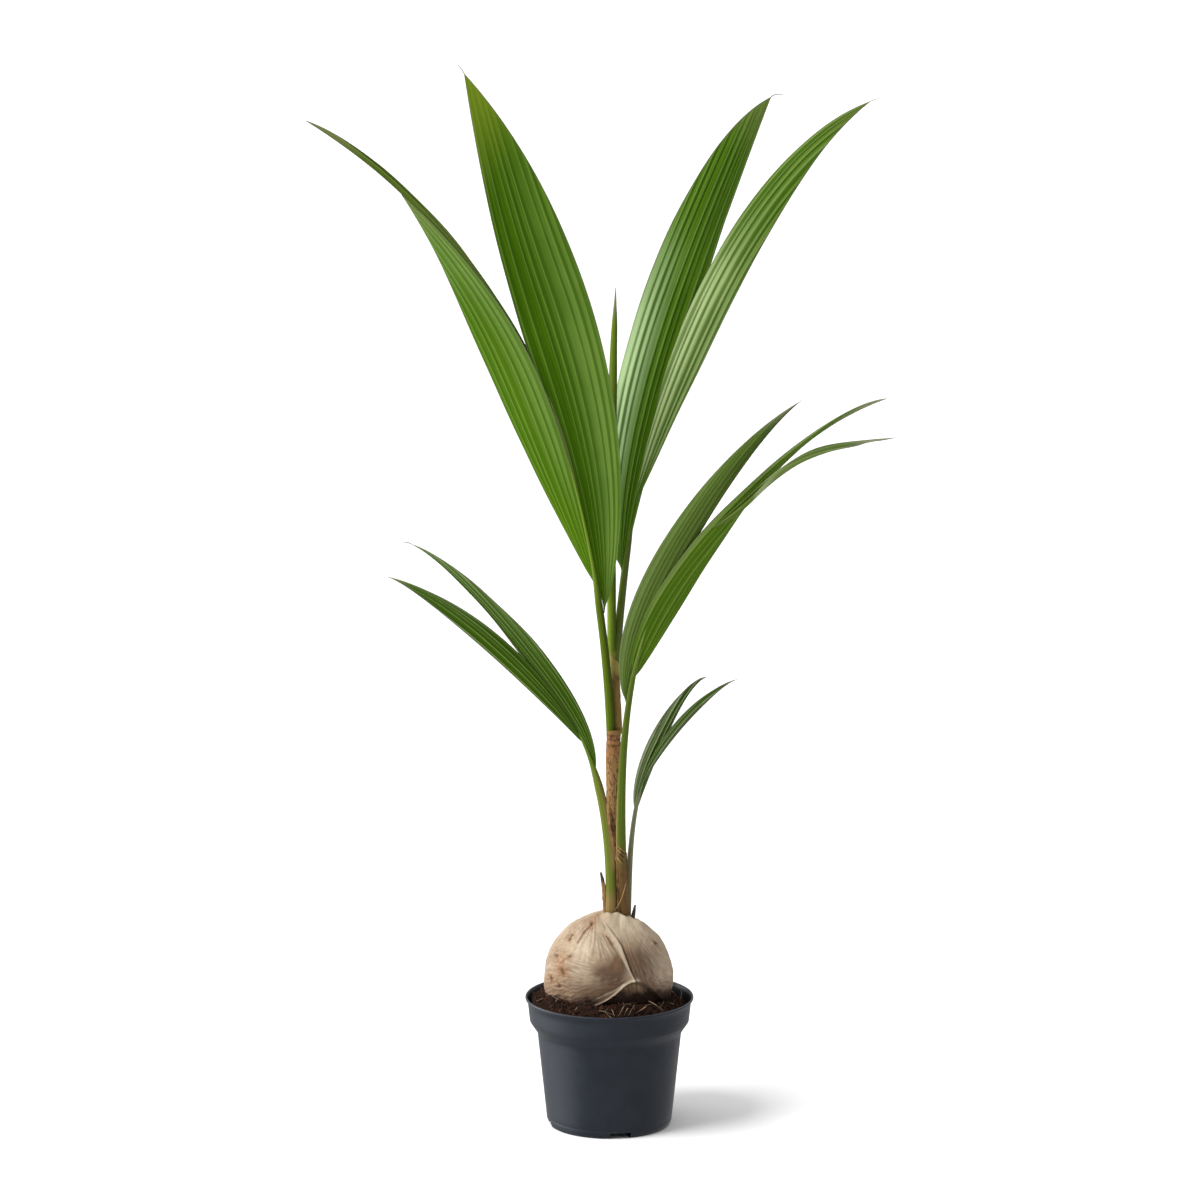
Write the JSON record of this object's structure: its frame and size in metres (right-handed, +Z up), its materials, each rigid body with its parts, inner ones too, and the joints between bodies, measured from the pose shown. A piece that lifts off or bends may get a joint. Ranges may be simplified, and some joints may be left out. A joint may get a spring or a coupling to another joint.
{
  "type": "potted coconut palm",
  "caption": "Young coconut palm sprouting from its husk in a round dark nursery pot, with tall pleated split fronds on slender stalks above a sheathed stem.",
  "frame": {"origin": "centre of the pot's flat underside", "axes": "+Z up along the stem, -Y the front that the picture shows, +X to the right seen from the front"},
  "size_m": [0.6353, 0.3771, 1.2218],
  "materials": {
    "pot": "matte dark grey moulded plastic",
    "husk": "dry fibrous coconut husk",
    "soil": "moist crumbly potting soil",
    "sheath": "dry fibrous leaf sheath",
    "stalk": "smooth green leaf stalk",
    "spear": "smooth rolled leaf",
    "frond_upper_left": "satin pleated leaf",
    "frond_upper_right": "satin pleated leaf",
    "frond_middle_right": "satin pleated leaf",
    "frond_lower_left": "satin pleated leaf",
    "frond_lower_right": "satin pleated leaf"
  },
  "bodies": {
    "root": {"pot": "pot", "nut": "husk", "soil": "soil", "sheath_lower": "sheath", "sheath_upper": "sheath", "sheath_scale_left": "sheath", "sheath_scale_right": "sheath", "rib_lower_left": "stalk", "rib_lower_right": "stalk", "rib_middle_right": "stalk", "rib_upper_left": "stalk", "rib_upper_right": "stalk", "spear": "spear", "frond_lower_left_lower": "frond_lower_left", "frond_lower_left_upper": "frond_lower_left", "frond_lower_right_outer": "frond_lower_right", "frond_lower_right_inner": "frond_lower_right", "frond_middle_right_outer": "frond_middle_right", "frond_middle_right_tail": "frond_middle_right", "frond_middle_right_inner": "frond_middle_right", "frond_upper_left_outer": "frond_upper_left", "frond_upper_left_tail": "frond_upper_left", "frond_upper_left_inner": "frond_upper_left", "frond_upper_right_outer": "frond_upper_right", "frond_upper_right_inner": "frond_upper_right"}
  },
  "joints": []
}
